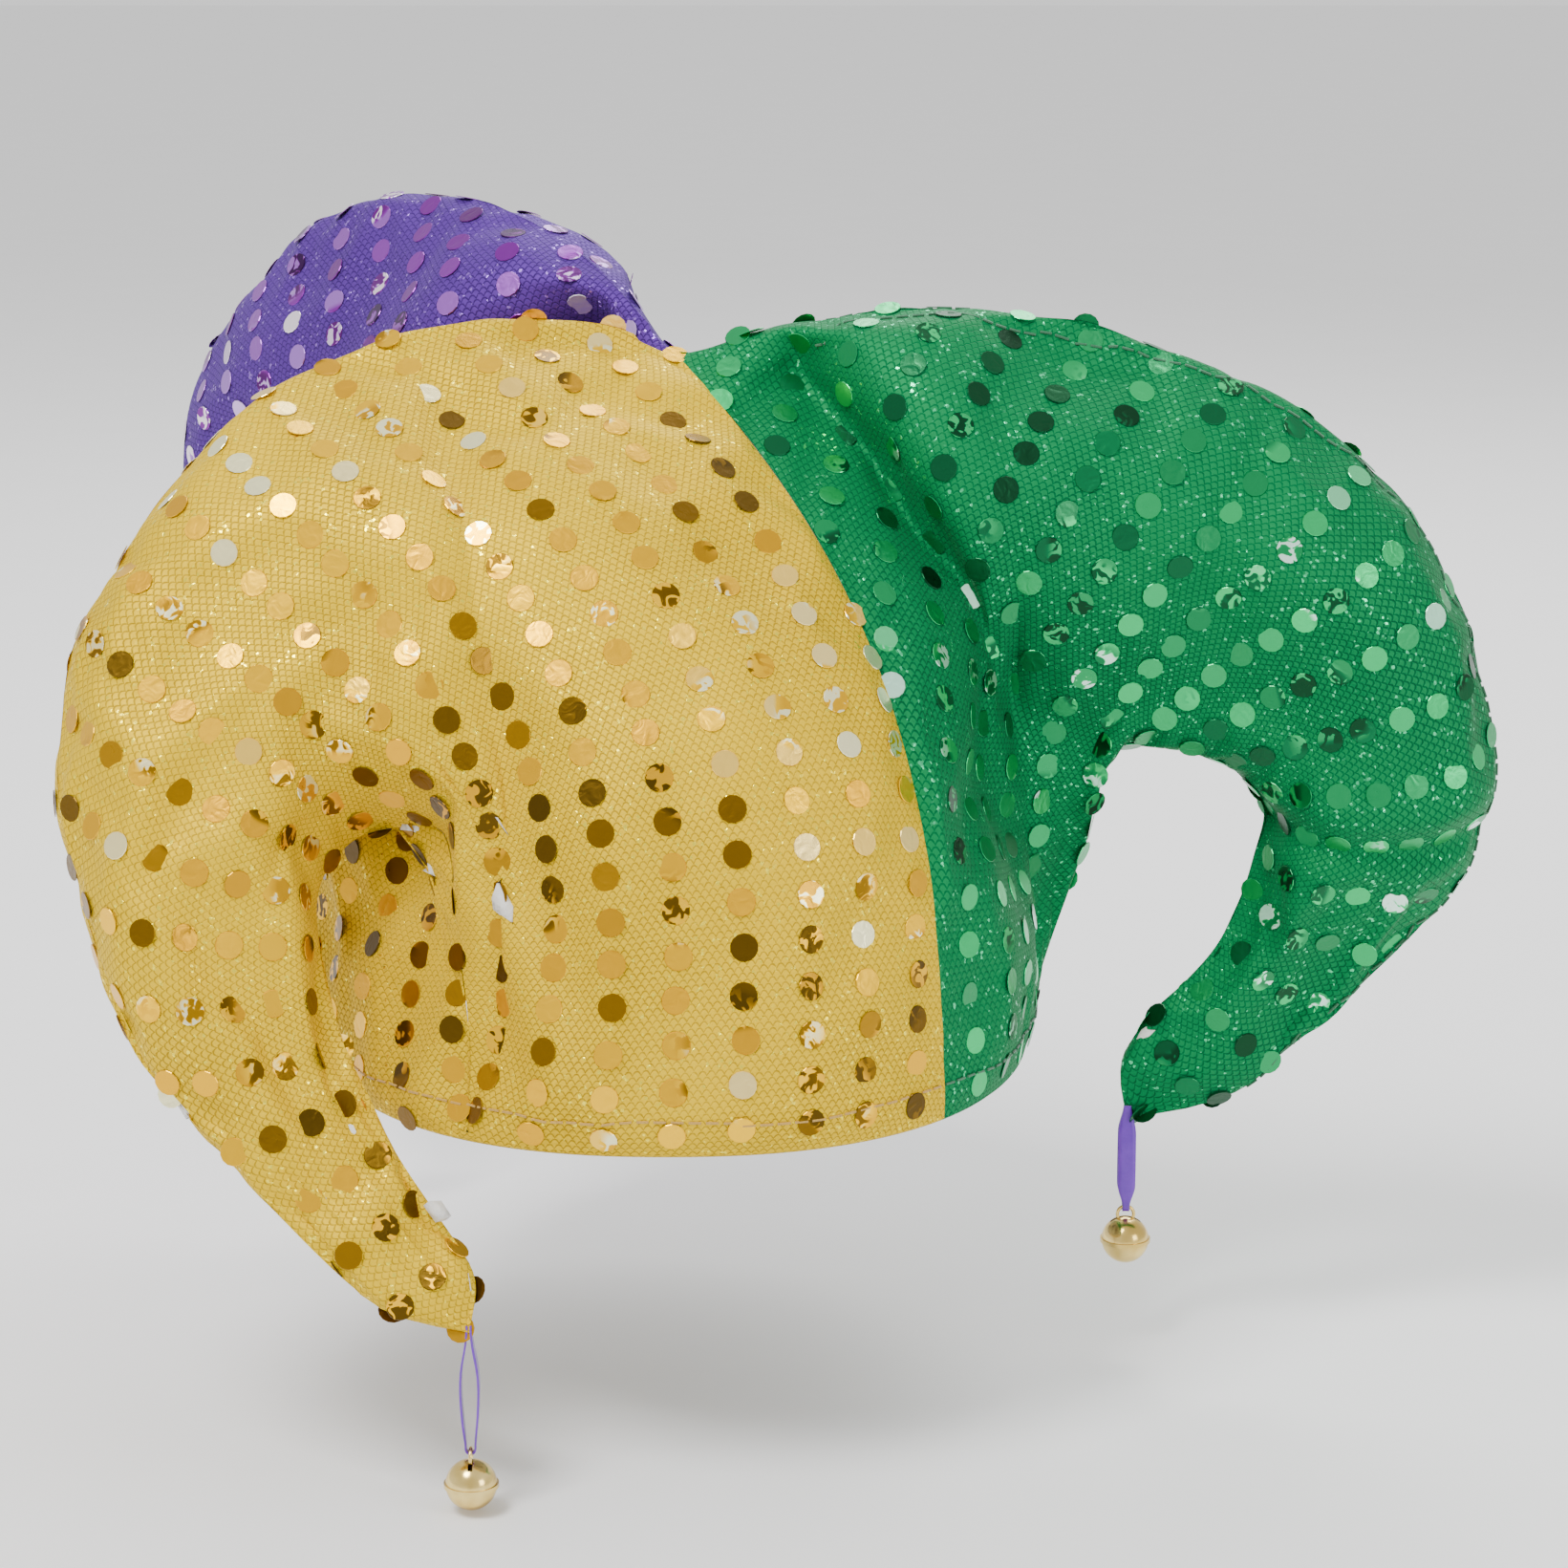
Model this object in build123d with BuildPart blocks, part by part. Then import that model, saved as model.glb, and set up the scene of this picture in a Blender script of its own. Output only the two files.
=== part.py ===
"""Three-point jester hat: six cloth panels over a foam lining, with a bell on a ribbon at each point.

Millimetres, +Z up.  The origin is the middle of the head opening, in the plane of the hem.
The front of the hat faces -Y and the green point reaches out along +X.
Azimuths are measured about +Z from the front, and grow towards +X.
"""

import os
from math import cos, pi, radians, sin

from build123d import *

os.makedirs("parts", exist_ok=True)

# ---------------------------------------------------------------- driving dimensions
hem_half_width = 80.0  # head opening, half its width along X
hem_half_depth = 100.0  # head opening, half its depth along Y
hat_height = 155.0  # hem to the apex where the six panels meet

panel_thickness = 1.0  # sequinned mesh and its backing
foam_thickness = 3.0  # foam lining behind every panel
lining_gap = 0.3  # loose fit of the lining inside the hanging end of a point

bend_radius = 33.0  # reach of the rounded joint where a point folds down
bend_clearance = 0.6  # running gap round that joint

ribbon_width = 4.0
ribbon_thickness = 0.4
ribbon_neck = 1.6  # width where the ribbon is gathered into the seam or the bell
ribbon_loop = 4.0  # opening between the two strands half way down
ribbon_gap = 0.5  # slack between the seam and the top of the ribbon
ribbon_bend = 1.2  # radius of the soft bends in each strand
ribbon_straight = 1.5  # straight run of each strand above the wire
ribbon_parting = 0.12  # share of the drop over which the two strands hang together
ribbon_widest = (0.4, 0.7)  # shares of the drop between which the loop is open
ribbon_narrowing = 0.9  # how much the loop has closed at the lower of these
ribbon_gather = 0.25  # share of the drop over which the ribbon widens and narrows
wire_room = 0.45  # room between the wire of the shank and the ribbon round it

bell_radius = 5.5
bell_wall = 0.5
bell_slot = 1.0
bell_slot_eye = 0.9  # radius of the round eye at each end of a slot
bell_lip = 0.35  # how far the crimped waist stands out
bell_lip_height = 0.9
shank_wire = 0.8
shank_radius = 1.9  # centre line of the wire ring on the crown
shank_rise = 0.6  # ring centre above the crown
pellet_radius = 1.2
pellet_gap = 0.05

# ---------------------------------------------------------------- the cap
# rings of the crown from the hem up: height, and share of the hem's half axes
cap_rings = [(0, 1.0), (35, 1.0), (65, 0.96), (88, 0.86), (108, 0.66), (128, 0.40), (145, 0.20)]
apex_share = 0.08
crown_slope = 1.3  # how much the lining's apex drops for each millimetre it lies inside
hem_overrun = 2.0  # the hollow is cut a little past the hem, so that it stays open

# ---------------------------------------------------------------- the points
# all three are cut from one pattern: half height and half thickness from the root to the tip
half_heights = [24, 42, 48, 46, 37, 28, 22, 16, 11, 6]
half_thicknesses = [11, 20, 25, 27, 26, 23, 20, 15, 10, 6]
bend_station = 5  # where the point folds down and can flop
corridor_margin = 5.0  # room round the hanging end when it is divided from the cap
block_half = 60.0  # half width of the block that divides them
sector_reach = 400.0  # the wedge of one colour reaches well past every point
sector_steps = 3  # the wedge's outer side has this many flats

# each point lies in its own plane through the apex: outward distance, rise above the apex
horns = {
    "yellow": {
        "azimuth": -81.0,
        "lean": 26.0,
        "seams": (-102.0, 41.0),
        "centres": [
            (14, -24), (42, -34), (66, -46), (89, -64), (108, -90),
            (111, -119), (102, -149), (86, -178), (72, -198), (62, -208),
        ],
        "exit": (57.0, -213.0),
        "drop": 28.0,
        "strand_azimuth": 0.0,
    },
    "green": {
        "azimuth": 90.0,
        "lean": 0.0,
        "seams": (41.0, 160.0),
        "centres": [
            (14, -24), (42, -36), (75, -41), (112, -45), (144, -63),
            (159, -95), (150, -128), (129, -153), (114, -168), (108, -174),
        ],
        "exit": (104.0, -174.5),
        "drop": 25.0,
        "strand_azimuth": 90.0,
    },
    "purple": {
        "azimuth": -140.0,
        "lean": 0.0,
        "seams": (160.0, 258.0),
        "centres": [
            (14, -22), (42, -24), (76, -24), (113, -29), (146, -48),
            (165, -78), (163, -109), (151, -133), (138, -149), (131, -155),
        ],
        "exit": (126.5, -156.5),
        "drop": 26.0,
        "strand_azimuth": 0.0,
    },
}


def heading(azimuth):
    """Level unit vector at an azimuth."""
    return Vector(sin(radians(azimuth)), -cos(radians(azimuth)), 0)


def horn_plane(horn):
    """Plane of one point: x outwards, y up, z towards its left-hand side."""
    outwards = heading(horn["azimuth"])
    sideways = Vector(outwards.Y, -outwards.X, 0)
    upwards = Vector(0, 0, cos(radians(horn["lean"]))) + sideways * sin(radians(horn["lean"]))
    return Plane(origin=(0, 0, hat_height), x_dir=outwards, z_dir=outwards.cross(upwards))


def station_frames(horn):
    """Centre, direction along the point and direction towards its crest at each station."""
    centres = [Vector(*centre) for centre in horn["centres"]]
    frames = []
    for index, centre in enumerate(centres):
        before = centres[max(index - 1, 0)]
        after = centres[min(index + 1, len(centres) - 1)]
        along = (after - before).normalized()
        frames.append((centre, along, Vector(-along.Y, along.X)))
    return frames


def cap_solid(inset):
    """The crown as a closed solid, every wall moved in by the inset."""
    with BuildPart() as crown:
        for height, share in cap_rings:
            floor = -hem_overrun if inset and height == 0 else height
            with BuildSketch(Plane.XY.offset(floor)):
                Ellipse(hem_half_width * share - inset, hem_half_depth * share - inset)
        with BuildSketch(Plane.XY.offset(hat_height - crown_slope * inset)):
            Ellipse(hem_half_width * apex_share, hem_half_depth * apex_share)
        loft()
    return crown.part


def horn_solid(horn, inset):
    """One point as a closed tapering solid, every wall moved in by the inset."""
    plane = horn_plane(horn)
    frames = station_frames(horn)
    with BuildPart() as point:
        for index, (centre, along, crestwards) in enumerate(frames):
            if index == 0:
                centre = centre + along * inset
            if index == len(frames) - 1:
                centre = centre - along * inset
            section = Plane(
                origin=plane.from_local_coords(centre),
                x_dir=plane.from_local_coords(centre + crestwards) - plane.from_local_coords(centre),
                z_dir=plane.from_local_coords(centre + along) - plane.from_local_coords(centre),
            )
            with BuildSketch(section):
                Ellipse(half_heights[index] - inset, half_thicknesses[index] - inset)
        loft()
    return point.part


def sector_solid(horn):
    """Wedge of space between the two side seams of one colour."""
    first, last = horn["seams"]
    turns = [first + (last - first) * step / sector_steps for step in range(sector_steps + 1)]
    corners = [(0, 0)] + [(sector_reach * heading(turn).X, sector_reach * heading(turn).Y) for turn in turns]
    with BuildPart() as wedge:
        with BuildSketch(Plane.XY.offset(-sector_reach / 2)):
            with BuildLine():
                Polyline(*corners, close=True)
            make_face()
        extrude(amount=sector_reach)
    return wedge.part


def hanging_block(horn, reach):
    """Space round the hanging end of a point, rounded about the bend so that it can turn."""
    frames = station_frames(horn)[bend_station:]
    widths = [half + corridor_margin for half in half_heights[bend_station:]]
    outer = [centre + crestwards * width for (centre, _, crestwards), width in zip(frames, widths)]
    inner = [centre - crestwards * width for (centre, _, crestwards), width in zip(frames, widths)]
    past_tip = frames[-1][1] * corridor_margin
    outline = outer + [outer[-1] + past_tip, inner[-1] + past_tip] + inner[::-1]
    with BuildPart() as block:
        with BuildSketch(horn_plane(horn)):
            with BuildLine():
                Polyline(*[(corner.X, corner.Y) for corner in outline], close=True)
            make_face()
            with Locations(horn["centres"][bend_station]):
                Circle(reach)
        extrude(amount=block_half, both=True)
    return block.part


def save(solid, name):
    """Label one finished piece and write it."""
    solid.label = name
    export_step(solid, f"parts/{name}.step")


# ---------------------------------------------------------------- panels and foam lining
def make_cloth(colour, horn):
    """Two panels and the lining of one colour."""
    plane = horn_plane(horn)
    sector = sector_solid(horn)
    panel_inset = panel_thickness
    lining_inset = panel_thickness + foam_thickness
    end_inset = panel_thickness + lining_gap

    with BuildPart() as skin:
        add(cap_solid(0))
        add(horn_solid(horn, 0))
        add(sector, mode=Mode.INTERSECT)
        add(cap_solid(panel_inset), mode=Mode.SUBTRACT)
        add(horn_solid(horn, panel_inset), mode=Mode.SUBTRACT)

    for side, keep in (("left", Keep.TOP), ("right", Keep.BOTTOM)):
        with BuildPart() as panel:
            add(skin.part)
            split(bisect_by=plane, keep=keep)
        save(panel.part, f"{colour}_{side}_panel")

    with BuildPart() as lining:
        add(cap_solid(panel_inset))
        add(horn_solid(horn, panel_inset))
        add(sector, mode=Mode.INTERSECT)
        add(cap_solid(lining_inset), mode=Mode.SUBTRACT)
        add(horn_solid(horn, lining_inset), mode=Mode.SUBTRACT)
        add(hanging_block(horn, bend_radius + bend_clearance), mode=Mode.SUBTRACT)
        with BuildSketch():
            Rectangle(4 * hem_half_width, 4 * hem_half_depth)
        extrude(amount=-2 * hem_overrun, mode=Mode.SUBTRACT)
    save(lining.part, f"{colour}_cap_lining")

    with BuildPart() as end:
        add(horn_solid(horn, end_inset))
        add(horn_solid(horn, lining_inset), mode=Mode.SUBTRACT)
        add(hanging_block(horn, bend_radius), mode=Mode.INTERSECT)
    save(end.part, f"{colour}_point_lining")


# ---------------------------------------------------------------- ribbon and bell
def ribbon_pivot(horn):
    """Point under the tip of a horn from which its ribbon swings."""
    return horn_plane(horn).from_local_coords(Vector(*horn["exit"], 0))


def ribbon_plane(horn):
    """Upright plane across the strands: x along the opening of the loop, y up."""
    across = heading(horn["strand_azimuth"] + 90)
    return Plane(origin=ribbon_pivot(horn), x_dir=across, z_dir=across.cross(Vector(0, 0, 1)))


fold_radius = shank_wire / 2 + wire_room + ribbon_thickness / 2  # the ribbon's centre line round the wire


def make_ribbon(colour, horn):
    """A strip folded into a hanging loop, its two ends at the seam and its fold through the shank."""
    drop = horn["drop"]
    half_loop = ribbon_loop / 2
    half_neck = ribbon_thickness
    wide, neck = ribbon_width / 2, ribbon_neck / 2
    widened, narrowed = -ribbon_gather * drop, -(1 - ribbon_gather) * drop
    with BuildPart() as ribbon:
        with BuildSketch(ribbon_plane(horn)):
            with BuildLine():
                strand = FilletPolyline(
                    (half_neck, -ribbon_gap),
                    (half_neck, -ribbon_parting * drop),
                    (half_loop, -ribbon_widest[0] * drop),
                    (half_loop * ribbon_narrowing, -ribbon_widest[1] * drop),
                    (fold_radius, -drop + ribbon_straight),
                    (fold_radius, -drop),
                    radius=ribbon_bend,
                )
                RadiusArc((fold_radius, -drop), (-fold_radius, -drop), fold_radius)
                mirror(strand, about=Plane.YZ)
            trace(line_width=ribbon_thickness)
        extrude(amount=ribbon_width / 2, both=True)
        with BuildSketch(Plane(origin=ribbon_pivot(horn), x_dir=ribbon_plane(horn).z_dir,
                               z_dir=-ribbon_plane(horn).x_dir)):
            with BuildLine():
                Polyline(
                    (-neck, 0),
                    (-wide, widened),
                    (-wide, narrowed),
                    (-neck, -drop + ribbon_straight),
                    (-neck, -drop - 2 * fold_radius),
                    (neck, -drop - 2 * fold_radius),
                    (neck, -drop + ribbon_straight),
                    (wide, narrowed),
                    (wide, widened),
                    (neck, 0),
                    close=True,
                )
            make_face()
        extrude(amount=2 * ribbon_loop, both=True, mode=Mode.INTERSECT)
    save(ribbon.part, f"{colour}_ribbon")
    return strand.length * 2 + pi * fold_radius


def bell_plane(horn):
    """Level plane through the middle of the bell, x along the wire that the ribbon goes round."""
    pin = ribbon_pivot(horn) - Vector(0, 0, horn["drop"])
    middle = pin - Vector(0, 0, bell_radius + shank_rise + shank_radius)
    return Plane(origin=middle, x_dir=heading(horn["strand_azimuth"]), z_dir=(0, 0, 1))


def make_bell(colour, horn):
    """Two pressed cups crimped at the waist, a wire shank on the crown and a loose pellet."""
    level = bell_plane(horn)
    upright = Plane(origin=level.origin, x_dir=level.x_dir, z_dir=level.y_dir)
    side_on = Plane(origin=level.origin, x_dir=level.y_dir, z_dir=level.x_dir)
    inner_radius = bell_radius - bell_wall

    with BuildPart() as top:
        with BuildSketch(upright):
            with BuildLine():
                CenterArc((0, 0), bell_radius, 0, 90)
                CenterArc((0, 0), inner_radius, 0, 90)
                Line((inner_radius, 0), (bell_radius, 0))
                Line((0, inner_radius), (0, bell_radius))
            make_face()
            with Locations((bell_radius - bell_wall / 2 + bell_lip / 2, bell_lip_height / 4)):
                Rectangle(bell_wall + bell_lip, bell_lip_height / 2)
        revolve(axis=Axis(level.origin, level.z_dir))
    save(top.part, f"{colour}_bell_top")

    with BuildPart() as bottom:
        with BuildSketch(upright):
            with BuildLine():
                CenterArc((0, 0), bell_radius, -90, 90)
                CenterArc((0, 0), inner_radius, -90, 90)
                Line((inner_radius, 0), (bell_radius, 0))
                Line((0, -inner_radius), (0, -bell_radius))
            make_face()
            with Locations((bell_radius - bell_wall / 2 + bell_lip / 2, -bell_lip_height / 4)):
                Rectangle(bell_wall + bell_lip, bell_lip_height / 2)
        revolve(axis=Axis(level.origin, level.z_dir))
        for face in (upright, side_on):
            with BuildSketch(face):
                with Locations((0, -bell_radius)):
                    Rectangle(2 * (bell_radius - 2 * bell_slot), 2 * bell_radius - 4 * bell_slot)
            extrude(amount=bell_slot / 2, both=True, mode=Mode.SUBTRACT)
        with BuildSketch(level):
            with PolarLocations(bell_radius - 2 * bell_slot, 4):
                Circle(bell_slot_eye)
        extrude(amount=-bell_radius, mode=Mode.SUBTRACT)
    save(bottom.part, f"{colour}_bell_bottom")

    with BuildPart() as shank:
        with BuildSketch(side_on):
            with Locations((0, bell_radius + shank_rise + shank_radius)):
                Circle(shank_wire / 2)
        ring_middle = level.origin + level.z_dir * (bell_radius + shank_rise)
        revolve(axis=Axis(ring_middle, level.y_dir))
        with BuildSketch(upright):
            with BuildLine():
                CenterArc((0, 0), bell_radius, -90, 180)
                Line((0, -bell_radius), (0, bell_radius))
            make_face()
        revolve(axis=Axis(level.origin, level.z_dir), mode=Mode.SUBTRACT)
    save(shank.part, f"{colour}_bell_shank")

    rest = inner_radius - pellet_radius - pellet_gap
    with BuildPart(Plane(level.origin - level.z_dir * rest)) as pellet:
        Sphere(pellet_radius)
    save(pellet.part, f"{colour}_bell_pellet")


for colour, horn in horns.items():
    make_cloth(colour, horn)
    ribbon_length = make_ribbon(colour, horn)
    make_bell(colour, horn)
    bend = horn_plane(horn).from_local_coords(Vector(*horn["centres"][bend_station], 0))
    pivot = ribbon_pivot(horn)
    pin = pivot - Vector(0, 0, horn["drop"])
    print(f"{colour} bend at {bend}, axis {horn_plane(horn).z_dir}")
    print(f"{colour} ribbon swings at {pivot}, {ribbon_length:.1f} long, tightest fold {fold_radius:.2f}")
    print(f"{colour} bell swings at {pin}, strands face azimuth {horn['strand_azimuth']}")
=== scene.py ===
# %% [markdown]
# # A three-point jester hat
# A cap of sequinned cloth grows three curling points, one each in yellow, green and purple, and a small bell
# hangs on a ribbon from every tip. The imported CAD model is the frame: it fixes the size, the bodies that move
# and the places of the bells. Blender adds what CAD can't show, which is cloth, sequins, stitching and satin.

# %% The frame
import math
import random

import bmesh
import bpy
from mathutils import Matrix, Vector, kdtree, noise
from mathutils.geometry import barycentric_transform
from mathutils.bvhtree import BVHTree


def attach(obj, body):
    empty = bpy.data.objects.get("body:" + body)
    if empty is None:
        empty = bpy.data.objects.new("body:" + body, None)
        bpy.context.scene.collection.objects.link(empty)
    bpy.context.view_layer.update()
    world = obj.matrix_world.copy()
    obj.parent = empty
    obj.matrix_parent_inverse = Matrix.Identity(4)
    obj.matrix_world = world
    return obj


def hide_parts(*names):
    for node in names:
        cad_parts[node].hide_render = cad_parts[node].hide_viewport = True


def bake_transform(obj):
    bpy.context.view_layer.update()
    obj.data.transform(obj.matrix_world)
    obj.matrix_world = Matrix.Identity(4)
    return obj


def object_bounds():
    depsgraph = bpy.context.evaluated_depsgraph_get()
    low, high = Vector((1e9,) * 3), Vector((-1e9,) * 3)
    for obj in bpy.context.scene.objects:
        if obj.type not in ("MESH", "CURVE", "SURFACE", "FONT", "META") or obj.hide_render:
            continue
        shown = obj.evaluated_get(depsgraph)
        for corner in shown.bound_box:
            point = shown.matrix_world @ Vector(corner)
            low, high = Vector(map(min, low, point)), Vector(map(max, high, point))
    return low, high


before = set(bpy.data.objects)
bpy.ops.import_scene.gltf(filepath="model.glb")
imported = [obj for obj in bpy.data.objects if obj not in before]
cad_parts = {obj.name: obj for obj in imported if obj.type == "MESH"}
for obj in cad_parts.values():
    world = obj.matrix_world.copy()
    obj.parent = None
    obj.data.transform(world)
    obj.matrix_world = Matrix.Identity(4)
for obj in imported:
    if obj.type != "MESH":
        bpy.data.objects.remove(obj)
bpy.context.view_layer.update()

MM = 0.001

# %% [markdown]
# ## The camera
# A long lens from a metre away, a little above the hat, keeps the proportions calm.

# %% Camera
LOOK_AT = Vector((24.5, 0, 56.3)) * MM
CAMERA_RISE = math.radians(13)
CAMERA_AWAY = 1.0
backwards = Vector((0, -math.cos(CAMERA_RISE), math.sin(CAMERA_RISE)))
camera = bpy.data.objects.new("camera", bpy.data.cameras.new("camera"))
camera.data.sensor_width = 36
camera.data.lens = 100.9
camera.location = LOOK_AT + backwards * CAMERA_AWAY
camera.rotation_euler = (math.radians(90) - CAMERA_RISE, 0, 0)
bpy.context.scene.collection.objects.link(camera)
bpy.context.scene.camera = camera

# %% [markdown]
# ## The pattern
# A maker cuts six panels. Each runs from the hem over the cap and out along half of one point, so its edge has
# four parts: the hem, the side seam to the next colour, the crest seam from the apex to the tip, and the inner
# seam from the tip back to the notch and down to the hem. Curves through a few points are enough for the
# seams, and every other point of the cloth follows from them.

# %% Seams
APEX = Vector((0, 0, 155))
HEM_X, HEM_Y = 80, 100
HEM_SQUARENESS = 0.88

POINTS = {
    "yellow": {
        "azimuth": -81,
        "lean": 26,
        "side_seams": (-97, 45),
        "centre_seam": -29,
        "crest": [
            (0, 0, 0), (0.08, 13, 6), (0.16, 30, 8.5), (0.26, 50, 7), (0.34, 71, 1), (0.42, 90, -9),
            (0.49, 107, -23), (0.56, 122, -42), (0.63, 133, -62), (0.69, 137, -81), (0.75, 138, -100),
            (0.80, 134, -119), (0.85, 128, -140), (0.89, 119, -158), (0.93, 105, -177), (0.965, 88, -197),
            (0.985, 75, -209), (1, 57, -215),
        ],
        "inner": [
            (0.56, 73, -107), (0.61, 80, -112), (0.66, 84, -121), (0.71, 84.5, -132), (0.77, 82, -146),
            (0.83, 77, -161), (0.88, 71, -175), (0.93, 64, -189), (0.97, 55, -203), (1, 57, -215),
        ],
        "centre": [(0.28, None), (0.35, (-42, -82.5, 22)), (0.42, (-45, -75.5, 44)), (0.49, (-48, -66, 61))],
        "left_notch": (-24, 10, -8),
        "bend": ((0.66, -0.75), 168, 188),
    },
    "green": {
        "azimuth": 90,
        "lean": 0,
        "side_seams": (45, 155),
        "centre_seam": 90,
        "crest": [
            (0, 0, 0), (0.06, 12, 3), (0.13, 31, 7), (0.21, 52, 9), (0.29, 73, 9), (0.36, 94, 5.5),
            (0.43, 116, -1.5), (0.50, 137, -12), (0.56, 157, -27), (0.62, 170, -44), (0.68, 179, -63),
            (0.74, 184, -84), (0.79, 185, -101), (0.84, 180, -117), (0.885, 171, -131), (0.925, 157, -147),
            (0.96, 141, -161), (0.985, 124, -174), (1, 104, -178),
        ],
        "inner": [
            (0.53, 107, -89), (0.57, 114, -90), (0.62, 123, -93), (0.67, 130, -98), (0.72, 135, -105),
            (0.76, 132, -115), (0.81, 129, -126), (0.86, 124, -136), (0.91, 116, -146), (0.955, 107, -156),
            (0.985, 102, -167), (1, 104, -178),
        ],
        "centre": [(0.28, None), (0.34, (86, 0, 20)), (0.40, (93, 0, 42)), (0.455, (96, 0, 59)), (0.49, (99, 0, 65))],
        "bend": ((0.85, -0.53), 151, 178),
    },
    "purple": {
        "azimuth": -140,
        "lean": 0,
        "side_seams": (155, 263),
        "centre_seam": 226.4,
        "crest": [
            (0, 0, 0), (0.06, 10, 6), (0.13, 28, 16), (0.21, 50, 24), (0.29, 73, 28), (0.36, 96, 28),
            (0.43, 120, 24), (0.50, 142, 14), (0.56, 161, 1), (0.62, 176, -16), (0.68, 187, -38),
            (0.74, 192, -60), (0.79, 192, -78), (0.84, 188, -95), (0.885, 181, -111), (0.925, 169, -128),
            (0.96, 155, -143), (0.985, 143, -155), (1, 126.5, -160),
        ],
        "inner": [
            (0.53, 106, -78), (0.57, 114, -77), (0.62, 124, -78), (0.67, 133, -82), (0.72, 139, -89),
            (0.76, 141, -97), (0.81, 141, -108), (0.86, 138, -119), (0.91, 133, -130), (0.955, 128, -140),
            (0.985, 125, -150), (1, 126.5, -160),
        ],
        "centre": [
            (0.28, None), (0.34, (-58, 71, 20)), (0.40, (-62, 75, 42)), (0.455, (-63, 77, 60)),
            (0.49, (-65, 78, 70)),
        ],
        "bend": ((0.85, -0.53), 158, 186),
    },
}
HEM_SHARE = 0.28  # share of a panel's length where the centre seam leaves the hem
THROAT = 0.49  # share where the inner seam reaches the notch
THROAT_FADE = 0.1
PUFF = 1.25  # how far the cloth leaves its seams sideways, in half thicknesses
TUCK = 0.10  # how far it also leaves them towards the middle of the panel
SIDE_SEAM_LEAN, SIDE_SEAM_DROP, SIDE_SEAM_RISE = 0.62, -33, 88
HEM_RISE, HEM_SPREAD = 55, 22
HALF_THICKNESS = [
    (0, 8), (0.08, 12), (0.16, 19), (0.28, 25), (0.49, 26), (0.62, 25), (0.72, 22), (0.8, 19), (0.88, 14),
    (0.94, 9.5), (0.98, 6), (1, 0),
]


def smooth(share):
    """0 to 1 with level ends."""
    share = min(max(share, 0), 1)
    return share * share * (3 - 2 * share)


def through(keys, where):
    """A smooth curve through (place, value) keys, read at one place."""
    last = len(keys) - 1
    index = max(i for i in range(last) if keys[i][0] <= where or i == 0)
    (a, start), (b, end) = keys[index], keys[index + 1]

    def slope(i):
        low, high = max(i - 1, 0), min(i + 1, last)
        return (keys[high][1] - keys[low][1]) / (keys[high][0] - keys[low][0])

    span = b - a
    t = min(max((where - a) / span, 0), 1)
    return (
        start * (2 * t**3 - 3 * t**2 + 1)
        + slope(index) * (span * (t**3 - 2 * t**2 + t))
        + end * (3 * t**2 - 2 * t**3)
        + slope(index + 1) * (span * (t**3 - t**2))
    )


def heading(azimuth):
    """Level unit vector at an azimuth, counted from the front towards +X."""
    return Vector((math.sin(math.radians(azimuth)), -math.cos(math.radians(azimuth)), 0))


def hem_at(angle):
    """A point of the head opening, an oval with slightly square shoulders."""
    across, deep = math.sin(math.radians(angle)), -math.cos(math.radians(angle))
    return Vector((
        HEM_X * math.copysign(abs(across) ** HEM_SQUARENESS, across),
        HEM_Y * math.copysign(abs(deep) ** HEM_SQUARENESS, deep),
        0,
    ))


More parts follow.
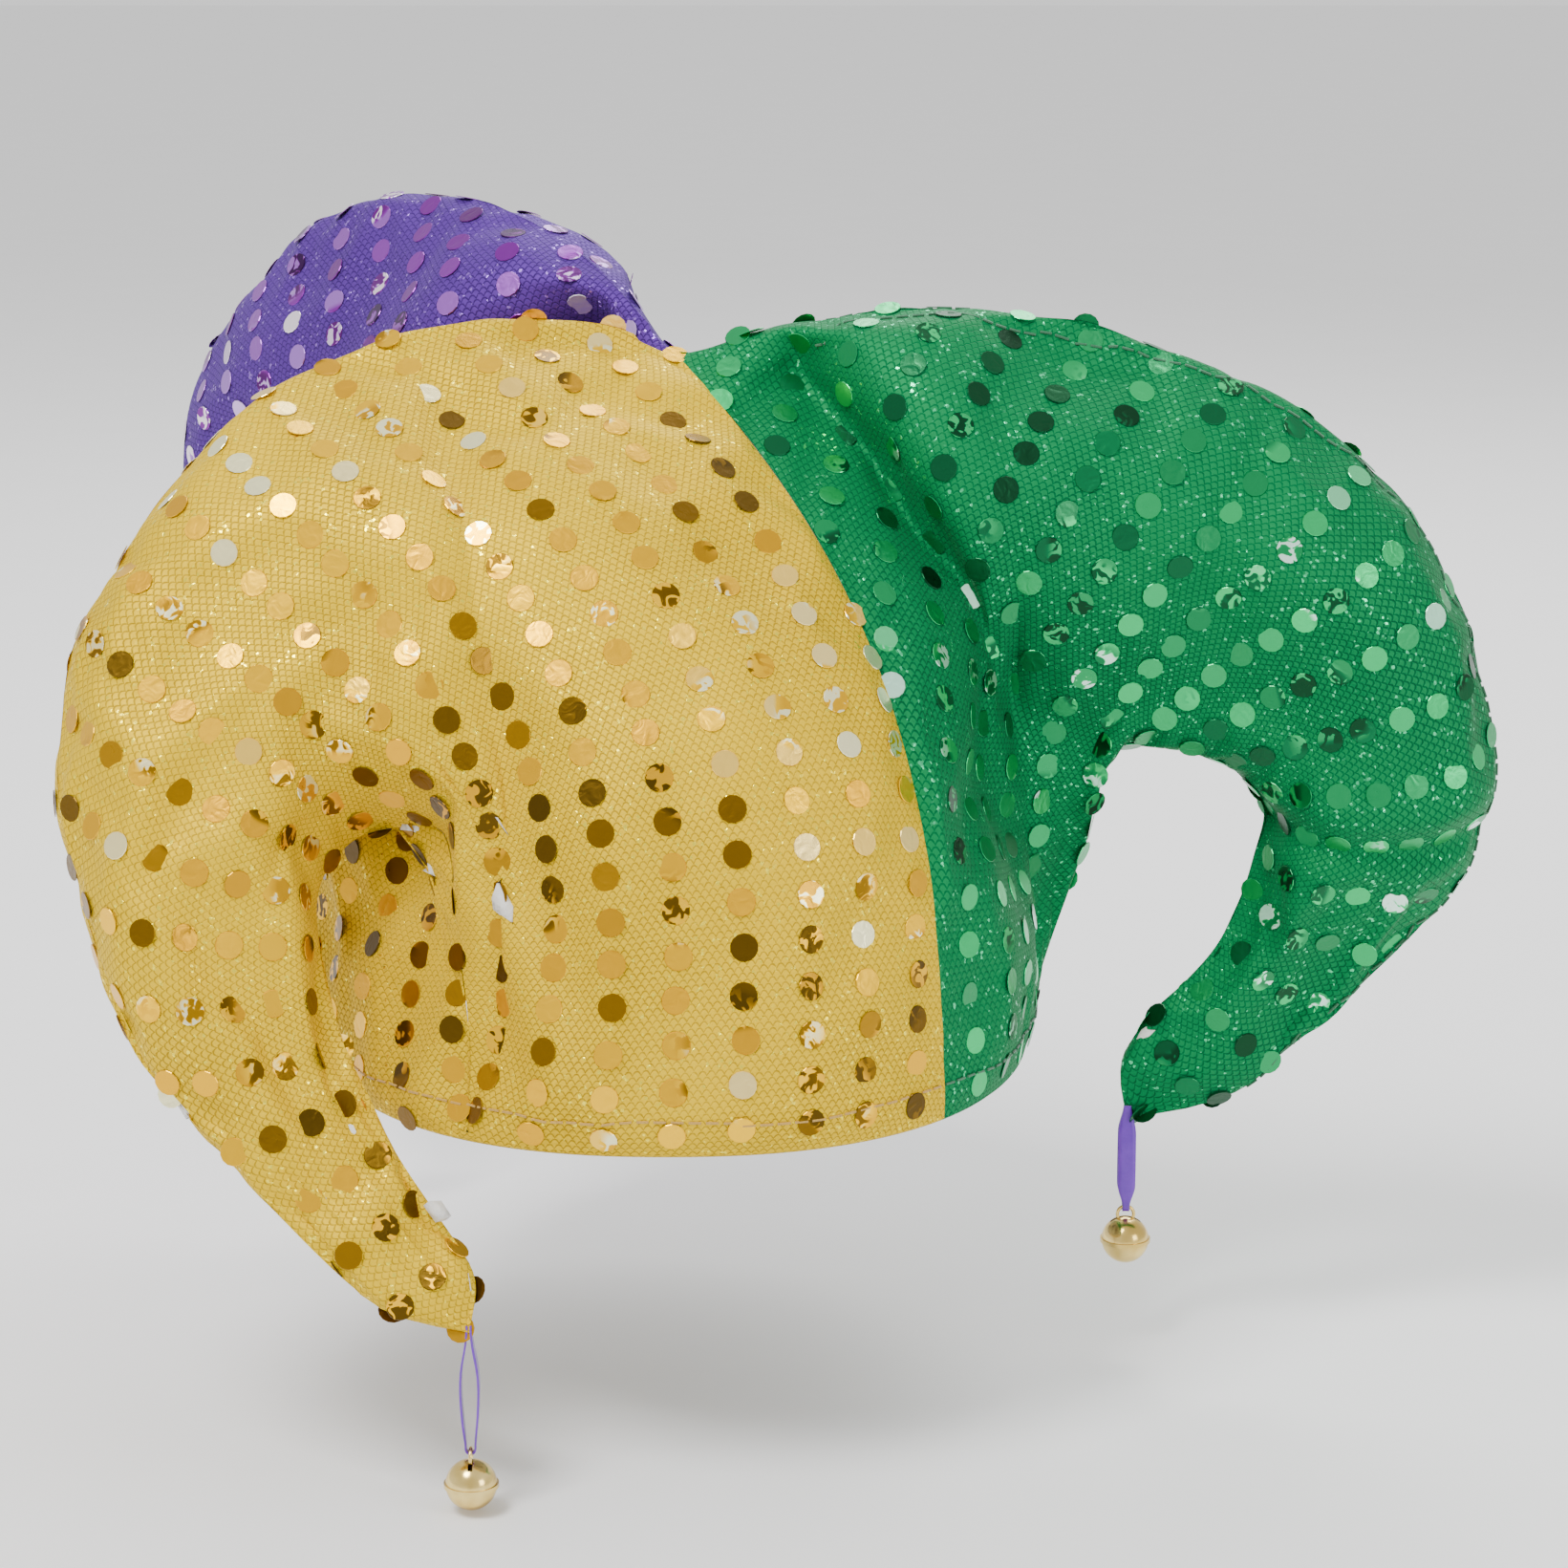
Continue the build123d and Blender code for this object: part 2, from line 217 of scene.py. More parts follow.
class Point:
    """One colour of the hat: its plane, its seams and the ribs of cloth between them."""

    def __init__(self, colour, facts):
        self.colour = colour
        self.facts = facts
        self.outwards = heading(facts["azimuth"])
        sideways = Vector((self.outwards.y, -self.outwards.x, 0))
        lean = math.radians(facts["lean"])
        self.upwards = Vector((0, 0, math.cos(lean))) + sideways * math.sin(lean)
        self.left = self.outwards.cross(self.upwards)
        self.crest_keys = [(u, self.place(p, q)) for u, p, q in facts["crest"]]
        seam_hem = hem_at(facts["centre_seam"])
        centre = [(u, Vector(co) if co else seam_hem) for u, co in facts["centre"]]
        self.inner_keys = centre + [(u, self.place(p, q)) for u, p, q in facts["inner"]]

    def place(self, out, up):
        return APEX + self.outwards * out + self.upwards * up

    def flat(self, co):
        """Outward distance, rise and distance to the left of a point, seen in this point's own plane."""
        off = co - APEX
        return off.dot(self.outwards), off.dot(self.upwards), off.dot(self.left)

    def hem_angle(self, side, share):
        seam = self.facts["side_seams"][0 if side == "left" else 1]
        return seam + (self.facts["centre_seam"] - seam) * share

    def bottom(self, side, u):
        if u < HEM_SHARE:
            return hem_at(self.hem_angle(side, u / HEM_SHARE))
        return through(self.inner_keys, u)

    def rib(self, side, u):
        """Four control points of the rib of cloth at a share u of the way from the side seam to the tip."""
        low, top = self.bottom(side, u), through(self.crest_keys, u)
        outer = self.left if side == "left" else -self.left
        half = through(HALF_THICKNESS, u)
        centre = self.facts["centre_seam"]
        one_degree = 1 if side == "left" else -1
        along_hem = hem_at(centre - one_degree) - hem_at(centre)
        puff = outer * half * PUFF
        fold_in = (low - top) * TUCK
        seam_hem = hem_at(self.hem_angle(side, 0))
        leave_seam = Vector((seam_hem.x * SIDE_SEAM_LEAN, seam_hem.y * SIDE_SEAM_LEAN, SIDE_SEAM_DROP))
        near_hem = Vector((0, 0, HEM_RISE)) + along_hem.normalized() * HEM_SPREAD
        near_notch = Vector(self.facts.get("left_notch", puff)) if side == "left" else puff
        if u < HEM_SHARE:
            share = smooth(u / HEM_SHARE)
            leave_top = leave_seam.lerp(puff + fold_in, share)
            leave_low = Vector((0, 0, SIDE_SEAM_RISE)).lerp(near_hem, share)
        elif u < THROAT:
            share = smooth((u - HEM_SHARE) / (THROAT - HEM_SHARE))
            leave_top = puff + fold_in
            leave_low = near_hem.lerp(near_notch, share)
        else:
            share = smooth((u - THROAT) / THROAT_FADE)
            leave_top = puff + fold_in
            leave_low = near_notch.lerp(puff - fold_in, share)
        return low, low + leave_low, top + leave_top, top

    def cloth(self, side, u, v):
        """A point of the flat-cut cloth as it stands: u from side seam to tip, v from the low edge to the crest."""
        a, b, c, d = self.rib(side, u)
        w = 1 - v
        return a * w**3 + b * 3 * v * w**2 + c * 3 * v**2 * w + d * v**3


points = {colour: Point(colour, facts) for colour, facts in POINTS.items()}
for colour, point in points.items():
    print(colour, "tip", [round(x) for x in point.cloth("left", 1, 0.5)])

# %% [markdown]
# ## Folds
# Stuffed cloth is never smooth: it dents in a valley where a point leaves the cap, folds where the point bends
# down, and puckers along the tight inner seam. Each of these is a line on the cloth with a dent or a ridge
# beside it. A fold is drawn here as a push along the sideways direction, which fades away from its line.

# %% Folds
VALLEY = [(10, -3), (27, -8), (42, -25), (54, -44), (64, -62), (75, -81), (84, -94)]
CREASE = [(128, -104), (150, -107), (170, -107), (190, -101)]
PLEAT = [(74, -88), (75, -120), (74, -158)]
SECOND_PLEAT = [(78, -92), (88, -106), (94, -122)]
PURPLE_VALLEY_RISE = 18  # for each 100 mm outwards
VALLEY_DEPTH, VALLEY_WIDTH = 17, 9
SHOULDER_HEIGHT, SHOULDER_WIDTH, SHOULDER_AWAY = 7, 16, 24
RIDGE_HEIGHT, CREASE_DEPTH = 3.4, 4.0
PLEAT_DEPTH, PLEAT_WIDTH = 3.0, 3.5
SECOND_PLEAT_DEPTH, SECOND_PLEAT_WIDTH = 2.5, 4
PUCKER_HEIGHT, CREST_PUCKER_HEIGHT = 1.7, 0.9


def from_line(line, p, q):
    """Signed distance from a line of points (positive on its upper side) and the share of the way along it."""
    best = (1e9, 0, 0)
    for i in range(len(line) - 1):
        a, b = Vector(line[i]), Vector(line[i + 1])
        along = b - a
        t = min(max((Vector((p, q)) - a).dot(along) / along.length_squared, 0), 1)
        off = Vector((p, q)) - (a + along * t)
        side = along.x * off.y - along.y * off.x
        if off.length < best[0]:
            best = (off.length, math.copysign(off.length, side), (i + t) / (len(line) - 1))
    return best[1], best[2]


def hill(distance, width):
    return math.exp(-((distance / width) ** 2))


def folds(point, side, u, v, co):
    """How far the cloth is pushed sideways at one point, in millimetres."""
    p, q, _ = point.flat(co)
    edge = smooth(v / 0.08) * smooth((1 - v) / 0.06)
    push = 0.0
    if point.colour != "yellow":
        rise = PURPLE_VALLEY_RISE if point.colour == "purple" else 0
        away, share = from_line([(x, y + rise * (x / 100)) for x, y in VALLEY], p, q)
        fade = math.sin(math.pi * min(share * 0.75 + 0.22, 1)) * smooth(share * 6)
        push -= VALLEY_DEPTH * fade * hill(away, VALLEY_WIDTH)
        push += SHOULDER_HEIGHT * fade * hill(away - SHOULDER_AWAY, SHOULDER_WIDTH)
    if point.colour == "green":
        away, share = from_line(CREASE, p, q)
        ends = smooth(share * 6 + 0.3)
        push += ends * (RIDGE_HEIGHT * hill(away - 5, 6) - CREASE_DEPTH * hill(away + 2.5, 3.5))
        away, share = from_line(PLEAT, p, q)
        push -= PLEAT_DEPTH * hill(away, PLEAT_WIDTH) * math.sin(math.pi * min(share + 0.15, 1))
        away, share = from_line(SECOND_PLEAT, p, q)
        push -= SECOND_PLEAT_DEPTH * hill(away, SECOND_PLEAT_WIDTH) * math.sin(math.pi * share)
    if 0.44 < u < 0.74:
        reach = smooth((u - 0.44) / 0.06) * smooth((0.74 - u) / 0.06)
        push += PUCKER_HEIGHT * reach * math.sin(u * 190) * math.exp(-v / 0.13)
    if u > 0.3:
        reach = smooth((u - 0.3) / 0.2)
        push += CREST_PUCKER_HEIGHT * reach * math.sin(u * 150 + 1.3) * math.exp(-(1 - v) / 0.10)
    wander = noise.noise(co * 0.021 + Vector((7, 1, 3))) * 2.6 + noise.noise(co * 0.055) * 1.1
    return (push + wander * smooth(u / 0.1)) * edge


# %% [markdown]
# ## Cutting the panels
# Each panel starts as a grid, because cloth wrinkles best in even squares, and a grid also keeps the four
# edges in order. Its points are moved to their places on the ribs. The six panels share their seam points, so
# sewn together they make one closed skin that can be inflated as a whole.

# %% Grids of cloth
ALONG, ACROSS = 96, 40
PANELS = [(colour, side) for colour in POINTS for side in ("left", "right")]


def new_object(name, mesh):
    made = bpy.data.objects.new(name, mesh)
    bpy.context.scene.collection.objects.link(made)
    return made


def mesh_from(bm, name):
    mesh = bpy.data.meshes.new(name)
    bm.to_mesh(mesh)
    bm.free()
    return new_object(name, mesh)


def panel_points(colour, side):
    """Rest place of every grid point of one panel, row by row, in metres."""
    point = points[colour]
    outer = point.left if side == "left" else -point.left
    places = []
    for j in range(ACROSS + 1):
        for i in range(ALONG + 1):
            u, v = i / ALONG, j / ACROSS
            co = point.cloth(side, u, v)
            ripple = 0.0
            if v in (0.0, 1.0) and u > 0.05:
                ripple = noise.noise(co * 0.05 + Vector((0, 0, 40))) * 2.2 * smooth((u - 0.05) * 6)
                ripple *= smooth((1 - u) * 12)
                ripple = ripple if u > HEM_SHARE or v == 1.0 else 0
                co = co + (co - point.cloth(side, u, 0.5)).normalized() * ripple
            else:
                co = co + outer * folds(point, side, u, v, co)
            places.append(co * MM)
    return places


rest = {panel: panel_points(*panel) for panel in PANELS}
print(len(rest), "panels of", (ALONG + 1) * (ACROSS + 1), "points")


def panel_grid(panel, places):
    """A bmesh grid whose points stand at the given places."""
    bm = bmesh.new()
    share = bm.verts.layers.float.new("along")
    bmesh.ops.create_grid(bm, x_segments=ALONG, y_segments=ACROSS, size=1)
    bm.verts.ensure_lookup_table()
    order = sorted(bm.verts, key=lambda vert: (round(vert.co.y, 4), round(vert.co.x, 4)))
    for vert, co in zip(order, places):
        vert.co = co
    if panel[1] == "right":
        bmesh.ops.reverse_faces(bm, faces=bm.faces)
    for number, vert in enumerate(order):
        vert[share] = (number % (ALONG + 1)) / ALONG
    return bm


# %% [markdown]
# ## Sewing and inflating
# Blender's cloth makes the small wrinkles: the panels are sewn into one skin, the seams and the hem are
# pinned, the cloth is allowed to grow by a few per cent, and a light pressure fills it. The extra cloth has
# nowhere to go, so it buckles into soft puckers that start at the seams. The result is read back point by
# point, with a cap on how far any point may move, and no simulation is left in the file.

# %% Cloth simulation
SIM_FRAMES = 16
MOST_MOVE = 6 * MM


def sewn_skin():
    """All six panels in one mesh, where each face remembers its panel and each point its share of the way."""
    whole = bmesh.new()
    for number, panel in enumerate(PANELS):
        part = panel_grid(panel, rest[panel])
        mesh = bpy.data.meshes.new("part")
        part.to_mesh(mesh)
        part.free()
        whole.from_mesh(mesh)
        bpy.data.meshes.remove(mesh)
        whole.faces.ensure_lookup_table()
        for face in whole.faces[number * ALONG * ACROSS:]:
            face.material_index = number
    bmesh.ops.remove_doubles(whole, verts=whole.verts, dist=1e-5)
    return mesh_from(whole, "sewn_skin")


def inflate(skin):
    """Runs the cloth on the sewn skin and returns where each of its points ends."""
    seam_places = kdtree.KDTree(sum(2 * (ALONG + ACROSS + 2) for _ in PANELS))
    count = 0
    for panel in PANELS:
        for j in range(ACROSS + 1):
            for i in range(ALONG + 1):
                if j in (0, ACROSS) or i == 0:
                    seam_places.insert(rest[panel][j * (ALONG + 1) + i], count)
                    count += 1
    seam_places.balance()
    pins = skin.vertex_groups.new(name="seams")
    held = [v.index for v in skin.data.vertices if seam_places.find(v.co)[2] < 1e-5]
    pins.add(held, 1.0, "REPLACE")
    cloth = skin.modifiers.new("cloth", "CLOTH")
    cloth.settings.quality = 6
    cloth.settings.mass = 0.3
    cloth.settings.tension_stiffness = 12
    cloth.settings.compression_stiffness = 12
    cloth.settings.shear_stiffness = 4
    cloth.settings.bending_stiffness = 0.15
    cloth.settings.air_damping = 2
    cloth.settings.vertex_group_mass = "seams"
    cloth.settings.use_pressure = True
    cloth.settings.uniform_pressure_force = 0.12
    cloth.settings.shrink_min = -0.035
    cloth.settings.effector_weights.gravity = 0
    cloth.point_cache.frame_end = SIM_FRAMES
    scene = bpy.context.scene
    for moment in range(1, SIM_FRAMES + 1):
        scene.frame_set(moment)
    graph = bpy.context.evaluated_depsgraph_get()
    settled = [v.co.copy() for v in skin.evaluated_get(graph).data.vertices]
    scene.frame_set(1)
    skin.modifiers.remove(cloth)
    return settled


skin = sewn_skin()
for number in range(len(PANELS)):
    skin.data.materials.append(bpy.data.materials.new(f"panel {number}"))
start_places = [v.co.copy() for v in skin.data.vertices]
settled = inflate(skin)
furthest = 0
for vert, before, after in zip(skin.data.vertices, start_places, settled):
    shift = after - before
    furthest = max(furthest, shift.length)
    if shift.length > MOST_MOVE:
        shift.length = MOST_MOVE
    vert.co = before + shift
print("cloth moved at most", round(furthest / MM, 2), "mm")


# %% [markdown]
# ## From one skin to six panels
# The skin is subdivided while it is still sewn, so that the seams stay closed, and is then cut apart into its
# panels. Where two panels meet at an angle, the crease between them draws the seam.

# %% Panels from the skin
def refined(obj):
    """The object's mesh after one smooth subdivision."""
    rounder = obj.modifiers.new("rounder", "SUBSURF")
    rounder.levels = 1
    rounder.render_levels = 1
    graph = bpy.context.evaluated_depsgraph_get()
    mesh = bpy.data.meshes.new_from_object(obj.evaluated_get(graph), preserve_all_data_layers=True, depsgraph=graph)
    obj.modifiers.remove(rounder)
    return mesh


skin_mesh = refined(skin)
skin_tree = BVHTree.FromPolygons(
    [v.co for v in skin_mesh.vertices], [tuple(f.vertices) for f in skin_mesh.polygons]
)


def only_panel(mesh, number, name):
    bm = bmesh.new()
    bm.from_mesh(mesh)
    others = [face for face in bm.faces if face.material_index != number]
    bmesh.ops.delete(bm, geom=others, context="FACES")
    for face in bm.faces:
        face.material_index = 0
        face.smooth = True
    return mesh_from(bm, name)


panel_pieces = {}
for number, (colour, side) in enumerate(PANELS):
    panel_pieces[colour, side] = only_panel(skin_mesh, number, f"{colour}_{side}_cloth")
print("faces in a panel", len(panel_pieces["yellow", "right"].data.polygons))


# %% [markdown]
# ## Laying the cloth flat
# The weave and the rows of sequins belong to the flat cloth, before it was cut. Unwrapping a panel with as
# little stretch as possible gives back that flat shape. It is then scaled to true size and turned so that the
# hem lies along the weave, as a cutter would lay the pattern on the cloth.

# %% Flat pattern
def lay_flat(piece, hem_points):
    """Gives the piece a UV map in metres, with the hem level, and returns the cloth's flat size."""
    bpy.context.view_layer.objects.active = piece
    for other in bpy.context.selected_objects:
        other.select_set(False)
    piece.select_set(True)
    piece.data.uv_layers.new(name="cloth")
    bpy.ops.object.mode_set(mode="EDIT")
    bpy.ops.mesh.select_all(action="SELECT")
    bpy.ops.uv.unwrap(method="MINIMUM_STRETCH", margin=0)
    bpy.ops.object.mode_set(mode="OBJECT")
    uv = piece.data.uv_layers["cloth"].data
    mesh = piece.data
    flat_of = {}
    for loop in mesh.loops:
        flat_of[loop.vertex_index] = uv[loop.index].uv.copy()
    flat_area = 0
    for face in mesh.polygons:
        ring = [uv[i].uv for i in face.loop_indices]
        flat_area += 0.5 * sum(a.x * b.y - b.x * a.y for a, b in zip(ring, ring[1:] + ring[:1]))
    true_area = sum(face.area for face in mesh.polygons)
    size = math.sqrt(true_area / abs(flat_area))
    near = kdtree.KDTree(len(mesh.vertices))
    for vert in mesh.vertices:
        near.insert(vert.co, vert.index)
    near.balance()
    start, end = (flat_of[near.find(co)[1]] for co in hem_points)
    turn = Matrix.Rotation(-math.atan2(end.y - start.y, end.x - start.x), 2)
    origin = start.copy()
    for item in uv:
        item.uv = turn @ (item.uv - origin) * size
    across = [item.uv.x for item in uv]
    down = [item.uv.y for item in uv]
    return max(across) - min(across), max(down) - min(down), true_area


for (colour, side), piece in panel_pieces.items():
    hem_ends = [points[colour].cloth(side, share, 0) * MM for share in (0.02, HEM_SHARE - 0.02)]
    if side == "right":
        hem_ends.reverse()
    lay_flat(piece, hem_ends)


# %% [markdown]
# ## Shader maths
# Most of the cloth's pattern is arithmetic on flat-cloth coordinates. A small class turns the usual signs into
# Math nodes, so that a pattern reads like a formula and not like wiring.

# %% Shader building blocks
class Value:
    """A number that a shader works out. The signs + - * / make Math nodes."""

    def __init__(self, finish, socket):
        self.finish, self.socket = finish, socket

    def maths(self, operation, *others):
        node = self.finish.tree.nodes.new("ShaderNodeMath")
        node.operation = operation
        for place, value in enumerate((self, *others)):
            self.finish.feed(node.inputs[place], value)
        return Value(self.finish, node.outputs[0])

    def __add__(self, other):
        return self.maths("ADD", other)

    def __sub__(self, other):
        return self.maths("SUBTRACT", other)

    def __mul__(self, other):
        return self.maths("MULTIPLY", other)

    def __truediv__(self, other):
        return self.maths("DIVIDE", other)

    def __rsub__(self, other):
        return (self * -1) + other

    __radd__, __rmul__ = __add__, __mul__

    def between(self, low, high):
        """0 below low, 1 above high and smooth between them."""
        return self.finish.node(
            "ShaderNodeMapRange", {"interpolation_type": "SMOOTHSTEP"},
            {"Value": self, "From Min": low, "From Max": high},
        )


class Finish:
    """A material under construction, with one method that adds any node."""

    def __init__(self, name):
        self.material = bpy.data.materials.new(name)
        self.material.use_nodes = True
        self.tree = self.material.node_tree
        self.shader = self.tree.nodes["Principled BSDF"]

    def feed(self, socket, value):
        if isinstance(value, Value):
            self.tree.links.new(value.socket, socket)
        else:
            socket.default_value = value

    def node(self, kind, settings, sockets, out=0):
        node = self.tree.nodes.new(kind)
        for key, value in settings.items():
            setattr(node, key, value)
        for key, value in sockets.items():
            self.feed(node.inputs[key], value)
        return Value(self, node.outputs[out])

    def mix(self, share, first, second):
        """A colour between two colours."""
        return self.node(
            "ShaderNodeMix", {"data_type": "RGBA"}, {0: share, 6: first, 7: second}, out=2
        )

    def ramp(self, share, stops):
        """A colour from (place, colour) stops."""
        value = self.node("ShaderNodeValToRGB", {}, {"Fac": share})
        elements = value.socket.node.color_ramp.elements
        while len(elements) < len(stops):
            elements.new(0.5)
        for element, (place, colour) in zip(elements, stops):
            element.position = place
            element.color = colour
        return value

    def bump(self, height, strength, distance):
        return self.node("ShaderNodeBump", {}, {"Height": height, "Strength": strength, "Distance": distance})

    def surface(self, **values):
        for key, value in values.items():
            self.feed(self.shader.inputs[key.replace("_", " ")], value)
        return self.material


def rgb(red, green, blue):
    return (red, green, blue, 1)


# %% [markdown]
# ## Sequin cloth
# The cloth is a metallic warp knit: rows of tiny scallops about two millimetres wide, with a glint of foil in
# some of the loops. The scallops are drawn in flat-cloth metres, so they follow every fold. Broad noise makes
# the slow changes of tone, partly the wear that used cloth has and partly painted sheen of the metallic yarn.

# %% Cloth finishes
LOOP_WIDTH, LOOP_HEIGHT = 1.8 * MM, 1.25 * MM
CLOTHS = {
    "yellow": {"thread": rgb(0.74, 0.50, 0.0), "shade": rgb(0.34, 0.205, 0.0), "foil": rgb(1, 0.82, 0.05)},
    "green": {"thread": rgb(0.0, 0.205, 0.062), "shade": rgb(0.0, 0.075, 0.025), "foil": rgb(0.05, 0.7, 0.3)},
    "purple": {"thread": rgb(0.105, 0.035, 0.29), "shade": rgb(0.035, 0.010, 0.11), "foil": rgb(0.4, 0.2, 0.85)},
}


def cloth_finish(name, thread, shade, foil):
    finish = Finish(name)
    flat = finish.node("ShaderNodeUVMap", {"uv_map": "cloth"}, {})
    x = finish.node("ShaderNodeSeparateXYZ", {}, {0: flat}, out=0)
    y = finish.node("ShaderNodeSeparateXYZ", {}, {0: flat}, out=1)
    row = (y / LOOP_HEIGHT).maths("FLOOR")
    rise = (y / LOOP_HEIGHT).maths("FRACT")
    aside = (x / LOOP_WIDTH + row * 0.5).maths("FRACT") - 0.5
    arc = (rise - 0.92 + aside * aside * 3.0).maths("ABSOLUTE")
    thread_line = 1 - arc.between(0.05, 0.30)
    grain = finish.node("ShaderNodeTexNoise", {}, {"Vector": flat, "Scale": 900, "Detail": 2})
    place = finish.node("ShaderNodeTexCoord", {}, {}, out=3)
    # Broad noise in the tone: partly wear of used cloth, partly painted sheen of the metallic yarn.
    wear_and_painted_sheen = finish.node("ShaderNodeTexNoise", {}, {"Vector": place, "Scale": 16, "Detail": 3})
    fleck = finish.node("ShaderNodeTexVoronoi", {}, {"Vector": flat, "Scale": 1700}, out=1)
    fleck = finish.node("ShaderNodeSeparateXYZ", {}, {0: fleck})
    glint = fleck.between(0.965, 0.98)
    tone = wear_and_painted_sheen * 0.55 + grain * 0.5 - thread_line * 0.36 + 0.05
    colour = finish.mix(tone.between(0.0, 0.62), shade, thread)
    colour = finish.mix(glint * 0.85, colour, foil)
    height = grain * 0.35 - thread_line * 0.65
    return finish.surface(
        Base_Color=colour,
        Roughness=0.62 - glint * 0.40 + thread_line * 0.1,
        Metallic=glint * 0.4 + 0.5,
        Specular_IOR_Level=0.12,
        Normal=finish.bump(height, 0.55, 0.25 * MM),
        Sheen_Weight=0.02,
        Sheen_Roughness=0.4,
    )


cloth_finishes = {colour: cloth_finish(f"{colour} sequin cloth", **facts) for colour, facts in CLOTHS.items()}

# %% [markdown]
# ## Sequins
# The sequins are foil discs, six millimetres across, glued to the flat cloth in straight rows. A disc lies
# where the flat pattern puts it: the point of the row is found on the flattened panel, and the same triangle
# tells where that point is on the shaped panel. Each disc is given a painted reflection tone of its own, slow
# noise over the cloth with a random part per disc, that stands in for foil at different tilts showing different
# parts of the room, from a painted dark reflection to a painted white flash. A few are creased, and a painted
# split of that tone along the crease shows them in two tones.

# %% Sequins on the rows
SEQUIN_RADIUS = 3.0 * MM
SEQUIN_THICKNESS = 0.15 * MM
SEQUIN_LIFT = 0.22 * MM
ROW_GAP, SEQUIN_GAP = 14.3 * MM, 9.1 * MM
SEQUIN_EDGES = 14
SEQUIN_TILT = 2.2
dice = random.Random(5)


def triangles_of(mesh):
    mesh.calc_loop_triangles()
    return [(tuple(t.vertices), tuple(t.loops)) for t in mesh.loop_triangles]


def sequins_on(piece, name):
    """One mesh with a disc at every place of the rows that falls on the panel."""
    mesh = piece.data
    uv = mesh.uv_layers["cloth"].data
    corners = triangles_of(mesh)
    flat = [uv[i].uv.to_3d() for _, loops in corners for i in loops]
    tree = BVHTree.FromPolygons(flat, [(3 * i, 3 * i + 1, 3 * i + 2) for i in range(len(corners))])
    low = Vector((min(co.x for co in flat), min(co.y for co in flat)))
    high = Vector((max(co.x for co in flat), max(co.y for co in flat)))
    bm = bmesh.new()
    painted_reflection = bm.verts.layers.float.new("painted_reflection")
    count = 0
    for column in range(math.floor(low.x / ROW_GAP), math.ceil(high.x / ROW_GAP) + 1):
        for line in range(math.floor(low.y / SEQUIN_GAP), math.ceil(high.y / SEQUIN_GAP) + 1):
            spot = Vector(((column + 0.5) * ROW_GAP, (line + 0.5) * SEQUIN_GAP, 0))
            spot += Vector((dice.uniform(-0.4, 0.4), dice.uniform(-0.4, 0.4), 0)) * MM
            hit, _, index, _ = tree.find_nearest(spot, 0.05 * MM)
            if hit is None:
                continue
            verts, loops = corners[index]
            ring = [mesh.vertices[i].co for i in verts]
            flat_ring = [uv[i].uv.to_3d() for i in loops]
            co = barycentric_transform(hit, *flat_ring, *ring)
            ahead = barycentric_transform(hit + Vector((0, 1, 0)) * MM, *flat_ring, *ring) - co
            normal = sum((mesh.vertices[i].normal for i in verts), Vector()).normalized()
            sideways = ahead.cross(normal).normalized()
            ahead = normal.cross(sideways)
            tilt = Matrix.Rotation(math.radians(dice.gauss(0, SEQUIN_TILT)), 3, sideways)
            tilt @= Matrix.Rotation(math.radians(dice.gauss(0, SEQUIN_TILT)), 3, ahead)
            turned = tilt @ Matrix((sideways, ahead, normal)).transposed()
            base = co + normal * SEQUIN_LIFT
            seat = Matrix.Translation(base) @ turned.to_4x4()
            disc = bmesh.ops.create_cone(
                bm, cap_ends=True, segments=SEQUIN_EDGES, radius1=SEQUIN_RADIUS,
                radius2=SEQUIN_RADIUS * 0.96, depth=SEQUIN_THICKNESS, matrix=seat,
            )
            # Painted reflection: slow noise over the cloth plus a random part per disc stands in for the foil's dark
            # and white reflections.
            slow = noise.noise(co * 14 + Vector((3, 9, 2)))
            shown = 0.47 + 0.62 * slow + dice.gauss(0, 0.17)
            for vert in disc["verts"]:
                vert[painted_reflection] = min(max(shown, 0), 1)
            count += 1
    made = mesh_from(bm, name)
    print(name, count)
    return made


def sequin_finish(name, stops):
    finish = Finish(name)
    # The disc's tone read here is painted reflection, turned into colour by the ramp below.
    painted_reflection = finish.node("ShaderNodeAttribute", {"attribute_name": "painted_reflection"}, {}, out=2)
    place = finish.node("ShaderNodeTexCoord", {}, {}, out=3)
    crease = finish.node("ShaderNodeTexNoise", {}, {"Vector": place, "Scale": 330, "Detail": 1.5, "Distortion": 1.2})
    creased = finish.node("ShaderNodeTexNoise", {}, {"Vector": place, "Scale": 60, "Detail": 0})
    # Painted two-tone reflection: on creased discs the painted tone is shifted up on one side of the crease and down
    # on the other.
    painted_crease_split = (crease.between(0.48, 0.56) - 0.5) * creased.between(0.56, 0.66) * 0.6
    colour = finish.ramp(painted_reflection + painted_crease_split, stops)
    return finish.surface(
        Base_Color=colour,
        Metallic=0.9,
        Roughness=0.24 + crease * 0.12,
        Normal=finish.bump(crease, 0.35, 0.3 * MM),
        Coat_Weight=0.04,
        Coat_Roughness=0.1,
    )


